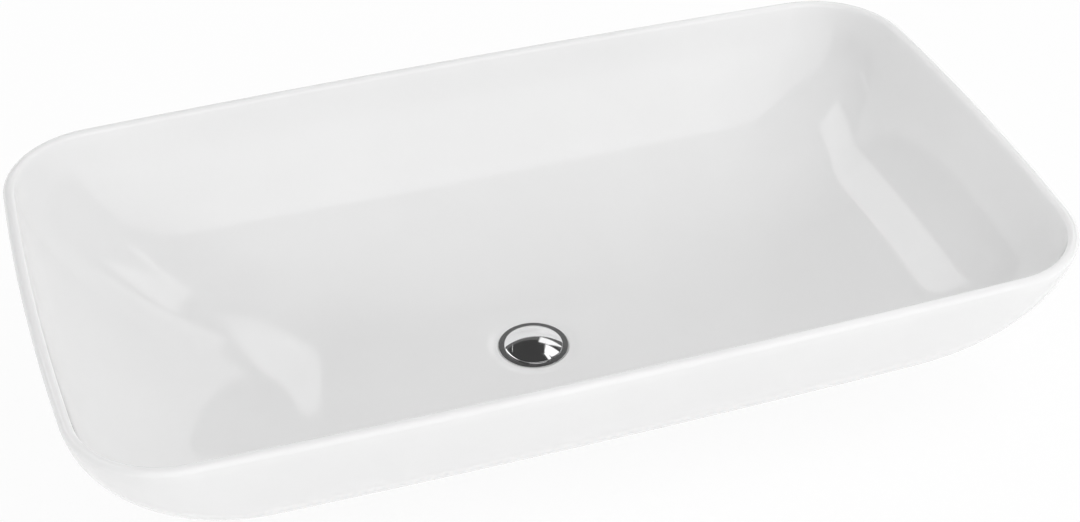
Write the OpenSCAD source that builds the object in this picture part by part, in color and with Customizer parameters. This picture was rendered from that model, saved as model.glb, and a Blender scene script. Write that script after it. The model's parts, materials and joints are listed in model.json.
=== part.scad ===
// Rectangular countertop basin of glazed ceramic with a push-open waste.
// Millimetres. Z = 0 is the countertop that the foot stands on, the drain is on the Z axis,
// X runs along the length and +Y is the side away from the user. The waste hangs below Z = 0.

/* [Basin outline] */
// Length over the rim
basin_len = 709; // [600:1:900]
// Width over the rim
basin_wid = 400; // [370:1:520]
// Height from the countertop to the top of the rim
basin_h = 148; // [130:1:190]
// Corner radius of the rim, outside
corner_r = 70; // [50:1:100]
// How far the middle of a long side stands out past a straight side
long_side_bow = 7.3; // [2:0.1:14]
// How far the middle of a short side stands out past a straight side
short_side_bow = 9.4; // [3:0.1:16]

/* [Ceramic walls] */
// Thickness of the rim, which has a full round edge
rim_t = 8; // [6:0.5:14]
// Thickness of the wall at its belly
wall_t = 10; // [8:0.5:14]
// Inward lean of the wall, in degrees from upright
wall_lean = 7.9; // [5:0.1:11]
// Width of the curved belly below a long side
belly_side = 146; // [110:1:150]
// Width of the curved belly below a short side
belly_end = 200; // [120:1:220]
// Corner radius that the outside reaches at the bottom of the belly
belly_corner_r = 55; // [45:1:80]
// Corner radius that the inside reaches at the floor
floor_corner_r = 52; // [40:1:75]
// Height of the upright foot that the belly runs into
foot_h = 5; // [3:0.5:8]
// Width of the ring that the basin stands on
foot_ring_w = 14; // [10:0.5:20]
// Depth of the hollow inside the foot ring
foot_hollow = 6; // [5:0.5:7]
// Fall of the floor from the foot of an end wall to the dish
floor_fall = 3.5; // [2:0.5:6]

/* [Drain] */
// Thickness of the ceramic that the waste clamps
drain_wall_t = 8.5; // [7.5:0.5:11]
// Diameter of the hole through the ceramic
drain_hole_d = 45; // [44:0.5:47]
// Diameter of the shallow dish round the flange
dish_d = 72; // [66:1:90]
// How far the floor stands above the flange at the edge of the dish
flange_sink = 0.5; // [0:0.1:1.5]
// How far the flange stands above the lip of its recess
flange_stand = 0.4; // [0.2:0.1:1]
// Gap between the flange and the wall of its recess
recess_gap = 0.8; // [0.5:0.1:1.5]

/* [Waste body] */
// Diameter of the flange that shows round the plug
flange_d = 52; // [50.5:0.5:58]
// Thickness of the flange
flange_t = 2; // [1.6:0.1:3]
// Inside diameter of the waste
waste_bore_d = 35; // [33:0.5:36]
// Diameter over the thread that the trap screws to, G 1 1/4
tail_thread_d = 41.91; // [41.5:0.01:42.2]
// Length of the thread that the trap screws to
tail_thread_len = 20; // [16:1:26]
// Pitch of both threads
thread_pitch = 2.309; // [2:0.001:2.6]
// Distance from the top of the flange to the end of the waste
waste_len = 82.5; // [78:0.5:100]

/* [Seals and nut] */
// Thickness of the ring between the flange and the ceramic
flange_gasket_t = 1; // [0.8:0.1:1.5]
// Height of the tapered rubber below the ceramic
under_gasket_h = 9; // [7:0.5:12]
// Largest diameter of the tapered rubber
under_gasket_d = 62; // [58:1:66]
// Thickness of the slip washer
slip_washer_t = 1.5; // [1:0.1:2.5]
// Width of the back nut across its flats
back_nut_af = 52; // [50:0.5:56]
// Height of the back nut
back_nut_h = 9; // [7:0.5:12]

/* [Plug] */
// Diameter of the domed cap
cap_d = 43.4; // [42:0.2:46]
// Height of the dome above its edge
cap_rise = 4.2; // [3:0.1:6]
// Height of the cap's upright edge
cap_edge_h = 0.6; // [0.4:0.1:1.5]
// Travel of the plug from shut to open
plug_travel = 9; // [6:0.5:9.5]
// Diameter of the plunger rod
rod_d = 8.6; // [8:0.1:9]
// Diameter of the stud between the cap and the plunger
stud_d = 5; // [4:0.5:6]

/* [Cartridge] */
// Outside diameter of the sleeve
sleeve_d = 17; // [16.5:0.5:19]
// Wall of the sleeve
sleeve_wall = 1.5; // [1.2:0.1:1.8]
// Length of the sleeve
sleeve_len = 34.5; // [34.5:0.5:38]
// Turns of the return spring
spring_turns = 6; // [5:0.5:8]
// Wire diameter of the return spring
spring_wire_d = 0.9; // [0.7:0.05:1]
// Diameter of the screw that holds the cartridge to the spider
base_screw_d = 6; // [5:0.5:8]

/* [Hidden] */
$fn = 96;

// Clearances
screw_gap = 0.05;       // radial, between a male thread and the piece screwed onto it
run_gap = 0.15;         // radial, between a piece that slides and its guide
loose_gap = 0.3;        // radial, round a washer or gasket
seal_gap = 0.3;         // between the shut plug's seal and its seat, which the real rubber fills
touch_gap = 0.1;        // along Z, between the cam and the piece that drives it
eps = 0.01;

// Outline of the basin
half_len = basin_len / 2;
half_wid = basin_wid / 2;
rim_r = rim_t / 2;
short_seg = 4;          // segments on half a short side
corner_seg = 10;        // segments on a corner
long_seg = 6;           // segments on half a long side
corner_share = 0.93;    // largest corner radius, as a share of the ring's half width
lean = tan(wall_lean);
long_side_r = bow_radius(half_len, long_side_bow);
short_side_r = bow_radius(half_wid, short_side_bow);

// Levels, from the countertop upwards
seat_z = foot_hollow + drain_wall_t;
flange_under = seat_z + flange_gasket_t;
flange_top = flange_under + flange_t;
dish_edge_z = flange_top + flange_sink;
floor_z = dish_edge_z + floor_fall;
rim_centre_z = basin_h - rim_r;
outer_drop = rim_centre_z - 2;     // depth of the belly's ellipse, which the foot cuts short
inner_drop = rim_centre_z - floor_z;
dish_drop = rim_centre_z - dish_edge_z;
belly_turn = asin((rim_centre_z - foot_h) / outer_drop);

// Hollow
hollow_end = hollow_of(belly_end, inner_drop);
hollow_side = hollow_of(belly_side, dish_drop);
floor_reach = half_len - rim_t - hollow_end - lean * inner_drop - dish_d / 2;
floor_turn = atan(inner_drop * floor_reach / (2 * floor_fall * hollow_end));

// Waste
flange_r = flange_d / 2;
seat_r = flange_r + recess_gap;
bore_r = waste_bore_d / 2;
collar_r = drain_hole_d / 2 - 0.9;
collar_len = 5;
tail_r = tail_thread_d / 2;
nut_thread_r = tail_r - 0.35;
nut_thread_end = -24;
thread_flat = 0.7;
thread_depth = 0.95;
neck_r = tail_r - 1.6;
tail_z = flange_top - waste_len;
throat_r = bore_r + 2.7;
throat_h = 4.5;
edge_round = 0.3;

// Underside
hollow_z = foot_hollow;
gasket_low_z = hollow_z - under_gasket_h;
washer_low_z = gasket_low_z - slip_washer_t;
back_nut_low_z = washer_low_z - back_nut_h;

// Cartridge levels, from the spider upwards
spider_top = -32;
spider_t = 5;
spider_hub_r = base_screw_d / 2 + 4;
spider_arm_w = 3;
base_disc_t = 4;
base_spigot_h = 3;
sleeve_r = sleeve_d / 2;
sleeve_in_r = sleeve_r - sleeve_wall;
sleeve_low = spider_top + base_disc_t;
sleeve_top = sleeve_low + sleeve_len;
lip_h = 2.5;
lip_low = sleeve_top - lip_h;
rod_r = rod_d / 2;
head_r = rod_r + 1.1;
head_h = 2;
head_top = lip_low - plug_travel - 0.7;
head_low = head_top - head_h;
cam_r = head_r + 0.2;
cam_bore_r = 2.2;
cam_h = 5.2;
cam_top = head_low - touch_gap;
cam_low = cam_top - cam_h;
lug_r = sleeve_in_r - loose_gap;
lug_w = 1.4;
lug_h = 2.7;
lug_low = cam_low + 0.5;
lug_count = 4;
rib_r = cam_r + 0.3;
rib_w = 1.6;
rib_low = lug_low + lug_h + 3.2;
spigot_r = cam_bore_r - 0.2;
spring_washer_t = 0.5;
spring_washer_top = cam_low - touch_gap;
spring_top = spring_washer_top - spring_washer_t;
spring_low = sleeve_low + base_spigot_h;
spigot_low = spring_low + 5;
spring_mean_r = 3.9;
spring_ring_sides = 6;
spring_steps = 16;      // rings in one turn of the spring
wiper_r = 0.6;          // section radius of the ring that wipes the rod

// Plug levels
cap_r = cap_d / 2;
cap_low = flange_top + 0.5;
dome_low = cap_low + cap_edge_h;
dome_sphere_r = (cap_r * cap_r + cap_rise * cap_rise) / (2 * cap_rise);
cap_recess = 1;
cap_recess_r = cap_r - 2.6;
carrier_top = cap_low + cap_recess;
carrier_flange_t = 1;
carrier_groove_h = 2;
carrier_lip_t = 1;
seal_top = carrier_top - carrier_flange_t - 0.05;
seal_low = carrier_top - carrier_flange_t - carrier_groove_h;
carrier_low = seal_low - carrier_lip_t;
seal_in_r = throat_r - 3.7;
boss_r = stud_d / 2 + 2.5;
boss_low = cap_low - 4.6;
stud_nut_h = 2.7;
stud_nut_low = boss_low - stud_nut_h;
rod_top = stud_nut_low - 0.7;
rod_hole_depth = 5.5;
stud_low = rod_top - rod_hole_depth + 0.5;
stud_top = carrier_top - 0.5;

// Colours
ceramic_white = [0.96, 0.96, 0.95];
chrome = [0.78, 0.79, 0.80];
brass = [0.80, 0.66, 0.34];
steel = [0.66, 0.67, 0.69];
rubber = [0.12, 0.12, 0.12];
nylon = [0.90, 0.90, 0.87];
acetal = [0.30, 0.33, 0.36];

function bow_radius(half, bow) = (half * half + bow * bow) / (2 * bow);
function aim(angle) = [cos(angle), sin(angle)];
function heading(v) = atan2(v[1], v[0]);
function raise(ring, z) = [for (p = ring) [p[0], p[1], z]];
function blend(ring_a, ring_b, t) = [for (i = [0:len(ring_a) - 1]) (1 - t) * ring_a[i] + t * ring_b[i]];

// A quarter of the outline: half a short side, a corner and half a long side, as three arcs that
// are tangent where they meet. a and b are the half length and half width, r the corner radius.
function quarter(a, b, r) =
    let(long_c = [0, b - long_side_r],
        short_c = [a - short_side_r, 0],
        gap = norm(short_c - long_c),
        along = (short_c - long_c) / gap,
        t = (pow(long_side_r - r, 2) - pow(short_side_r - r, 2) + gap * gap) / (2 * gap),
        h = sqrt(pow(long_side_r - r, 2) - t * t),
        corner_c = long_c + along * t + [along[1], -along[0]] * h,
        short_end = heading(corner_c - short_c),
        long_start = heading(corner_c - long_c))
    concat(
        [for (i = [0:short_seg - 1]) short_c + short_side_r * aim(short_end * i / short_seg)],
        [for (i = [0:corner_seg - 1])
            corner_c + r * aim(short_end + (long_start - short_end) * i / corner_seg)],
        [for (i = [0:long_seg]) long_c + long_side_r * aim(long_start + (90 - long_start) * i / long_seg)]);

function mirror_round(q) =
    let(n = len(q) - 1)
    concat([for (i = [0:n - 1]) q[i]],
           [for (i = [n:-1:1]) [-q[i][0], q[i][1]]],
           [for (i = [0:n - 1]) -q[i]],
           [for (i = [n:-1:1]) [q[i][0], -q[i][1]]]);

// A closed ring inside the rim's outline by inset_x at the ends and inset_y at the sides
function outline(inset_x, inset_y, r) =
    mirror_round(quarter(half_len - inset_x, half_wid - inset_y,
                         min(r, corner_share * (half_wid - inset_y))));

function round_ring(r) =
    let(n = short_seg + corner_seg + long_seg)
    mirror_round([for (i = [0:n]) r * aim(90 * i / n)]);

// The outside of the wall at an angle of its belly's quarter ellipse
function outer_row(angle) =
    let(u = 1 - cos(angle), v = sin(angle),
        share = u / (1 - cos(belly_turn)),
        fall = outer_drop * v,
        r = corner_r + (belly_corner_r - corner_r) * share)
    raise(outline(belly_end * u + lean * fall, belly_side * u + lean * fall, r), rim_centre_z - fall);

// Half width of the hollow's curve that keeps the wall at wall_t halfway down the belly
function hollow_of(belly, drop) =
    let(p = [lean * outer_drop * sin(45) + belly * (1 - cos(45)), outer_drop * sin(45)],
        t = [lean * outer_drop * cos(45) + belly * sin(45), outer_drop * cos(45)],
        q = p + wall_t * [t[1], -t[0]] / norm(t),
        angle = asin(min(q[1] / drop, 0.95)))
    (q[0] - rim_t - lean * q[1]) / (1 - cos(angle));

// The inside of the wall in plan, at an angle of the hollow's quarter ellipse
function inner_ring(angle) =
    let(u = 1 - cos(angle),
        fall = inner_drop * sin(angle),
        start_r = corner_r - rim_t,
        r = start_r + (floor_corner_r - start_r) * u)
    outline(rim_t + hollow_end * u + lean * fall, rim_t + hollow_side * u + lean * fall, r);

// The height of the floor over the dish's edge at the foot of the wall, all the way round, so
// that it falls to the dish at one slope from every side
function foot_rise(floor_edge) =
    let(full = norm(floor_edge[0]) - dish_d / 2)
    [for (p = floor_edge) floor_fall * (norm(p) - dish_d / 2) / full];

function flat_ring(row) = [for (p = row) [p[0], p[1]]];

// Skins rings of equal count that run from the middle of the underside, up the outside, over the
// rim and down the inside to the middle of the floor
module skin(rings) {
    n = len(rings[0]);
    m = len(rings);
    low = m * n;
    points = concat([for (ring = rings) each ring],
                    [[0, 0, rings[0][0][2]], [0, 0, rings[m - 1][0][2]]]);
    sides = [for (j = [0:m - 2], i = [0:n - 1], half = [0, 1])
        let(k = (i + 1) % n)
        half == 0 ? [j * n + i, (j + 1) * n + i, (j + 1) * n + k]
                  : [j * n + i, (j + 1) * n + k, j * n + k]];
    lower_fan = [for (i = [0:n - 1]) [low, i, (i + 1) % n]];
    upper_fan = [for (i = [0:n - 1]) [low + 1, (m - 1) * n + (i + 1) % n, (m - 1) * n + i]];
    polyhedron(points = points, faces = concat(lower_fan, sides, upper_fan));
}

module basin() {
    foot_row = outer_row(belly_turn);
    foot_inset = [half_len - foot_row[0][0], half_wid - foot_row[short_seg + corner_seg + long_seg][1]];
    belly_rows = [for (i = [12:-1:0]) outer_row(belly_turn * i / 12)];
    rim_rows = [for (i = [1:7])
        let(turn = 180 * i / 8, in = rim_r * (1 - cos(turn)))
        raise(outline(in, in, corner_r - in), rim_centre_z + rim_r * sin(turn))];
    floor_edge = inner_ring(floor_turn);
    rise = foot_rise(floor_edge);
    hollow_rows = [for (i = [0:14])
        let(angle = floor_turn * i / 14, share = sin(angle) / sin(floor_turn), ring = inner_ring(angle))
        [for (k = [0:len(ring) - 1])
            [ring[k][0], ring[k][1], rim_centre_z - (dish_drop - rise[k]) * share]]];
    dish_edge = round_ring(dish_d / 2);
    floor_rows = [for (i = [1:8])
        let(t = i / 8, ring = blend(floor_edge, dish_edge, t))
        [for (k = [0:len(ring) - 1]) [ring[k][0], ring[k][1], dish_edge_z + rise[k] * pow(1 - t, 2)]]];
    dish_low = flange_top - flange_stand;
    dish_rows = [for (i = [1:4])
        let(t = i / 4)
        raise(round_ring(dish_d / 2 + (seat_r + 0.6 - dish_d / 2) * t),
              dish_edge_z + (dish_low - dish_edge_z) * (1 - cos(180 * t)) / 2)];
    color(ceramic_white)
    difference() {
        skin(concat([raise(flat_ring(foot_row), -2)], belly_rows, rim_rows, hollow_rows,
                    floor_rows, dish_rows));
        // the foot is ground flat, and the ring it stands on is left round a hollow
        translate([0, 0, -20]) cube([2 * basin_len, 2 * basin_wid, 40], center = true);
        translate([0, 0, -1]) linear_extrude(hollow_z + 1)
            polygon(outline(foot_inset[0] + foot_ring_w, foot_inset[1] + foot_ring_w,
                            belly_corner_r));
        // the seat for the flange and the hole for the waste
        translate([0, 0, seat_z]) cylinder(r = seat_r, h = basin_h);
        translate([0, 0, -1]) cylinder(d = drain_hole_d, h = basin_h);
    }
}

// Crest, crest and root points of a thread drawn as rings, from its upper end downwards
function thread_points(crest_r, z_top, z_low) =
    let(turns = floor((z_top - z_low - thread_flat) / thread_pitch),
        pitch = (z_top - z_low - thread_flat) / turns)
    concat([for (i = [0:turns - 1])
                each [[crest_r, z_top - i * pitch],
                      [crest_r, z_top - i * pitch - thread_flat],
                      [crest_r - thread_depth, z_top - i * pitch - (pitch + thread_flat) / 2]]],
           [[crest_r, z_low + thread_flat], [crest_r, z_low]]);

module waste_body() {
    collar_low = flange_under - collar_len;
    tail_thread_top = tail_z + tail_thread_len;
    color(chrome)
    difference() {
        union() {
            rotate_extrude() polygon(concat(
                [[bore_r, tail_z], [bore_r, flange_top - throat_h], [throat_r, flange_top],
                 [flange_r - edge_round, flange_top], [flange_r, flange_top - edge_round],
                 [flange_r, flange_under], [collar_r, flange_under], [collar_r, collar_low]],
                thread_points(nut_thread_r, collar_low, nut_thread_end),
                [[neck_r, nut_thread_end], [neck_r, tail_thread_top]],
                thread_points(tail_r, tail_thread_top, tail_z)));
            translate([0, 0, spider_top - spider_t]) cylinder(r = spider_hub_r, h = spider_t);
            for (i = [0:2]) rotate([0, 0, 120 * i + 90])
                translate([0, -spider_arm_w / 2, spider_top - spider_t])
                    cube([bore_r + 0.5, spider_arm_w, spider_t]);
        }
        translate([0, 0, spider_top - spider_t - 1])
            cylinder(d = base_screw_d + 2 * run_gap, h = spider_t + 2);
    }
}

module ring(outer_r, inner_r, z_low, z_top) {
    translate([0, 0, z_low]) difference() {
        cylinder(r = outer_r, h = z_top - z_low);
        translate([0, 0, -1]) cylinder(r = inner_r, h = z_top - z_low + 2);
    }
}

module hex_nut(across_flats, hole_r, z_low, z_top) {
    corner = across_flats / 2 / cos(30);
    translate([0, 0, z_low]) difference() {
        intersection() {
            cylinder(r = corner, h = z_top - z_low, $fn = 6);
            // rounds the six corners off at both ends
            rotate_extrude() polygon([
                [0, 0], [across_flats / 2, 0], [corner + eps, corner - across_flats / 2],
                [corner + eps, z_top - z_low - (corner - across_flats / 2)],
                [across_flats / 2, z_top - z_low], [0, z_top - z_low]]);
        }
        translate([0, 0, -1]) cylinder(r = hole_r, h = z_top - z_low + 2);
    }
}

module flange_gasket() {
    color(rubber) ring(flange_r - 0.6, drain_hole_d / 2 + 0.1, seat_z, flange_under);
}

module underside_gasket() {
    hole_r = nut_thread_r + loose_gap;
    color(rubber) rotate_extrude() polygon([
        [hole_r, gasket_low_z], [under_gasket_d / 2 - 4, gasket_low_z],
        [under_gasket_d / 2, hollow_z - 3], [under_gasket_d / 2, hollow_z], [hole_r, hollow_z]]);
}

module slip_washer() {
    color(nylon) ring(under_gasket_d / 2 - 3.5, nut_thread_r + loose_gap, washer_low_z, gasket_low_z);
}

module back_nut() {
    color(brass) hex_nut(back_nut_af, nut_thread_r + screw_gap, back_nut_low_z, washer_low_z);
}

module plug_cap() {
    color(chrome) difference() {
        union() {
            // the dome and its upright edge
            intersection() {
                translate([0, 0, dome_low + cap_rise - dome_sphere_r]) sphere(r = dome_sphere_r, $fn = 180);
                translate([0, 0, dome_low]) cylinder(r = cap_r + 1, h = cap_rise + 1);
            }
            translate([0, 0, cap_low]) cylinder(r = cap_r, h = cap_edge_h);
        }
        translate([0, 0, cap_low - 1]) difference() {
            cylinder(r = cap_recess_r, h = cap_recess + 1);
            translate([0, 0, -1]) cylinder(r = boss_r, h = cap_recess + 3);
        }
        translate([0, 0, cap_low - 1]) cylinder(r = stud_d / 2 + screw_gap, h = stud_top - cap_low + 1);
    }
    color(chrome) ring(boss_r, stud_d / 2 + screw_gap, boss_low, cap_low);
}

module seal_carrier() {
    groove_r = seal_in_r - 0.1;
    color(nylon) rotate_extrude() polygon([
        [boss_r + run_gap, carrier_low], [groove_r + 0.9, carrier_low], [groove_r + 0.9, seal_low],
        [groove_r, seal_low], [groove_r, carrier_top - carrier_flange_t],
        [cap_recess_r - 0.2, carrier_top - carrier_flange_t], [cap_recess_r - 0.2, carrier_top],
        [boss_r + run_gap, carrier_top]]);
}

module cap_seal() {
    slope = (throat_r - bore_r) / throat_h;
    seat_low_r = throat_r - slope * (flange_top - seal_low);
    color(rubber) rotate_extrude() polygon([
        [seal_in_r, seal_low], [seat_low_r - seal_gap, seal_low],
        [throat_r - seal_gap, flange_top], [throat_r - seal_gap, seal_top], [seal_in_r, seal_top]]);
}

module cap_stud() {
    color(steel) translate([0, 0, stud_low]) cylinder(d = stud_d, h = stud_top - stud_low);
}

module stud_nut() {
    color(steel) hex_nut(stud_d + 3, stud_d / 2 + screw_gap, stud_nut_low, boss_low);
}

module plunger() {
    color(acetal) difference() {
        union() {
            translate([0, 0, head_low]) cylinder(r = rod_r, h = rod_top - head_low);
            translate([0, 0, head_low]) cylinder(r = head_r, h = head_h);
            translate([0, 0, spigot_low]) cylinder(r = spigot_r, h = head_low - spigot_low + eps);
        }
        translate([0, 0, rod_top - rod_hole_depth])
            cylinder(r = stud_d / 2 + screw_gap, h = rod_hole_depth + 1);
    }
}

module rod_seal() {
    color(rubber) translate([0, 0, sleeve_top - wiper_r - 0.1]) rotate_extrude()
        translate([rod_r + 0.1 + wiper_r, 0]) circle(r = wiper_r, $fn = 24);
}

module cartridge_sleeve() {
    color(acetal) difference() {
        union() {
            ring(sleeve_r, sleeve_in_r, sleeve_low, sleeve_top);
            ring(sleeve_in_r + eps, rod_r + run_gap, lip_low, sleeve_top);
            for (i = [0:lug_count - 1]) rotate([0, 0, 360 / lug_count * i])
                translate([rib_r, -rib_w / 2, rib_low])
                    cube([sleeve_in_r - rib_r + 0.3, rib_w, lip_low - rib_low + eps]);
        }
        // the seat of the ring that wipes the rod
        translate([0, 0, sleeve_top - 2 * wiper_r - 0.1])
            cylinder(r = rod_r + 2 * wiper_r + 0.3, h = 2 * wiper_r + 1);
    }
}

module ratchet_cam() {
    color(nylon) difference() {
        union() {
            translate([0, 0, cam_low]) cylinder(r = cam_r, h = cam_h);
            for (i = [0:lug_count - 1]) rotate([0, 0, 360 / lug_count * i])
                translate([0, -lug_w / 2, lug_low]) intersection() {
                    cube([lug_r, lug_w, lug_h]);
                    translate([0, lug_w / 2, 0]) cylinder(r = lug_r, h = lug_h);
                }
        }
        translate([0, 0, cam_low - 1]) cylinder(r = cam_bore_r, h = cam_h + 2);
    }
}

module spring_washer() {
    color(steel) ring(spring_mean_r + 0.9, cam_bore_r + 0.1, spring_top, spring_washer_top);
}

// One unbroken wire, swept as a tube round the coil's helix, with closed flat ends
module return_spring() {
    wire_r = spring_wire_d / 2;
    low = spring_low + wire_r + 0.05;
    rise = spring_top - spring_low - 2 * wire_r - 0.1;
    n = ceil(spring_turns * spring_steps);
    sides = spring_ring_sides;
    points = [for (i = [0:n], j = [0:sides - 1])
        let(turn = 360 * spring_turns * i / n, around = 360 * j / sides,
            r = spring_mean_r + wire_r * cos(around))
        [r * cos(turn), r * sin(turn), low + rise * i / n + wire_r * sin(around)]];
    walls = [for (i = [0:n - 1], j = [0:sides - 1], half = [0, 1])
        let(a = i * sides + j, b = i * sides + (j + 1) % sides, c = a + sides, d = b + sides)
        half == 0 ? [a, b, d] : [a, d, c]];
    ends = [[for (j = [sides - 1:-1:0]) j], [for (j = [0:sides - 1]) n * sides + j]];
    echo(spring_gap = rise / spring_turns - spring_wire_d);
    color(steel) polyhedron(points = points, faces = concat(walls, ends));
}

module cartridge_base() {
    color(acetal) {
        translate([0, 0, spider_top]) cylinder(r = sleeve_r, h = base_disc_t);
        translate([0, 0, sleeve_low]) cylinder(r = sleeve_in_r - run_gap, h = base_spigot_h);
        translate([0, 0, spider_top - spider_t - 9]) cylinder(d = base_screw_d, h = spider_t + 9 + eps);
    }
}

module base_washer() {
    low = spider_top - spider_t - 1;
    color(steel) ring(spider_hub_r - 1, base_screw_d / 2 + run_gap, low, low + 1);
}

module base_nut() {
    top = spider_top - spider_t - 1;
    color(brass) hex_nut(base_screw_d + 4, base_screw_d / 2 + screw_gap, top - 5, top);
}

basin();
waste_body();
flange_gasket();
underside_gasket();
slip_washer();
back_nut();
plug_cap();
seal_carrier();
cap_seal();
cap_stud();
stud_nut();
plunger();
rod_seal();
cartridge_sleeve();
ratchet_cam();
spring_washer();
return_spring();
cartridge_base();
base_washer();
base_nut();
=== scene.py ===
import json
import math

import bmesh
import bpy
from mathutils import Matrix, Vector


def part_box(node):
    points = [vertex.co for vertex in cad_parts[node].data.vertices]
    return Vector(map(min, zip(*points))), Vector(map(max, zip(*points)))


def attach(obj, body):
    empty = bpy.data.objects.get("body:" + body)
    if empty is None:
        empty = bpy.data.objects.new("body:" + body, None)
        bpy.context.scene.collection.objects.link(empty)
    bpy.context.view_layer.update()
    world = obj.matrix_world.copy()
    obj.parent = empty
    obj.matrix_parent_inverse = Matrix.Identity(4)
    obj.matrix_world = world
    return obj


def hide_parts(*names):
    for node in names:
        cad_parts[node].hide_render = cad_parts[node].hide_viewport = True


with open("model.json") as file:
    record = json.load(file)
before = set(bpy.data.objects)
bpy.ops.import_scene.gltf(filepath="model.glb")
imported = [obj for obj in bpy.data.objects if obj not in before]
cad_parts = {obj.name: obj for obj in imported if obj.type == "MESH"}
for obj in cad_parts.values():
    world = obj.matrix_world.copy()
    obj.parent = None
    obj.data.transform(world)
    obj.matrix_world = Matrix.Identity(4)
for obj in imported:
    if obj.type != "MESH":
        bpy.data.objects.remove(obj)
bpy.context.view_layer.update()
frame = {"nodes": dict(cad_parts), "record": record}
nodes = frame["nodes"]
slotOf = {part["node"]: part["material_slot"] for part in frame["record"]["subparts"]}
fixedBody = "basin_with_waste"
print("frame loaded:", len(nodes), "solids")

mm = 0.001               # shapes are drawn in millimetres and brought to metres at the end
weldDistance = 0.0005    # points of a mesh nearer than this, in millimetres, are one


def finishMesh(name, bm, materials, body, replaced, sharpAngle=40.0):
    bmesh.ops.recalc_face_normals(bm, faces=bm.faces)
    bmesh.ops.scale(bm, vec=(mm, mm, mm), verts=bm.verts)
    mesh = bpy.data.meshes.new(name)
    bm.to_mesh(mesh)
    bm.free()
    for material in materials:
        mesh.materials.append(material)
    mesh.shade_smooth()
    mesh.set_sharp_from_angle(angle=math.radians(sharpAngle))
    piece = bpy.data.objects.new(name, mesh)
    bpy.context.scene.collection.objects.link(piece)
    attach(piece, body)
    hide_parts(replaced)


def nextRing(bm, ring, points):
    # grows the open loop by one row of quads, and sets where the new row lies
    n = len(ring)
    edges = [bm.edges.get((ring[i], ring[(i + 1) % n])) for i in range(n)]
    grown = bmesh.ops.extrude_edge_only(bm, edges=edges)["geom"]
    fresh = {v for v in grown if isinstance(v, bmesh.types.BMVert)}
    row = [next(e.other_vert(v) for e in v.link_edges if e.other_vert(v) in fresh) for v in ring]
    for v, p in zip(row, points):
        v.co = p
    return row


def loftRings(rings):
    # one closed band: the last ring is joined to the first
    bm = bmesh.new()
    row = bmesh.ops.create_circle(bm, segments=len(rings[0]), radius=1.0)["verts"]
    for v, p in zip(row, rings[0]):
        v.co = p
    for points in rings[1:] + rings[:1]:
        row = nextRing(bm, row, points)
    bmesh.ops.remove_doubles(bm, verts=bm.verts, dist=weldDistance)
    return bm


def spinProfile(bm, profile, steps, closed=True):
    # turns a profile of (radius, height) points round the drain's axis
    verts = [bm.verts.new((r, 0.0, z)) for r, z in profile]
    pairs = list(zip(verts, verts[1:])) + ([(verts[-1], verts[0])] if closed else [])
    edges = [bm.edges.new(pair) for pair in pairs]
    bmesh.ops.spin(bm, geom=verts + edges, cent=(0, 0, 0), axis=(0, 0, 1), angle=2 * math.pi,
                   steps=steps, use_merge=True)
    bmesh.ops.remove_doubles(bm, verts=bm.verts, dist=weldDistance)


def arcPoints(centreR, centreZ, radius, start, end, count):
    # points of an arc in a profile, from one angle to another in degrees
    points = []
    for i in range(count + 1):
        a = math.radians(start + (end - start) * i / count)
        points.append((centreR + radius * math.cos(a), centreZ + radius * math.sin(a)))
    return points


class Finish:
    # a material whose colour, gloss and bump vary with noise on Object coordinates
    def __init__(self, name):
        self.material = bpy.data.materials.new(name)
        self.material.use_nodes = True
        self.tree = self.material.node_tree
        self.shader = self.tree.nodes["Principled BSDF"]
        self.place = self.tree.nodes.new("ShaderNodeTexCoord").outputs["Object"]

    def put(self, socket, value):
        self.shader.inputs[socket].default_value = value

    def join(self, source, socket):
        self.tree.links.new(source, self.shader.inputs[socket])

    def noise(self, scale, detail=2.0, stretch=(1, 1, 1)):
        mapping = self.tree.nodes.new("ShaderNodeMapping")
        mapping.inputs["Scale"].default_value = stretch
        self.tree.links.new(self.place, mapping.inputs["Vector"])
        node = self.tree.nodes.new("ShaderNodeTexNoise")
        node.inputs["Scale"].default_value = scale
        node.inputs["Detail"].default_value = detail
        self.tree.links.new(mapping.outputs["Vector"], node.inputs["Vector"])
        return node.outputs["Fac"]

    def spread(self, source, low, high):
        # a noise lies between 0.35 and 0.65 over most of a surface
        node = self.tree.nodes.new("ShaderNodeMapRange")
        limits = {"From Min": 0.35, "From Max": 0.65, "To Min": low, "To Max": high}
        for socket, value in limits.items():
            node.inputs[socket].default_value = value
        self.tree.links.new(source, node.inputs["Value"])
        return node.outputs["Result"]

    def tint(self, source, first, second):
        node = self.tree.nodes.new("ShaderNodeMix")
        node.data_type = "RGBA"
        node.inputs["A"].default_value = (*first, 1.0)
        node.inputs["B"].default_value = (*second, 1.0)
        self.tree.links.new(self.spread(source, 0.0, 1.0), node.inputs["Factor"])
        self.join(node.outputs["Result"], "Base Color")

    def dull(self, source, least, most):
        self.join(self.spread(source, least, most), "Roughness")

    def bump(self, source, strength, height, under=None):
        node = self.tree.nodes.new("ShaderNodeBump")
        node.inputs["Strength"].default_value = strength
        node.inputs["Distance"].default_value = height
        self.tree.links.new(source, node.inputs["Height"])
        if under is not None:
            self.tree.links.new(under, node.inputs["Normal"])
        self.join(node.outputs["Normal"], "Normal")
        return node.outputs["Normal"]


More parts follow.
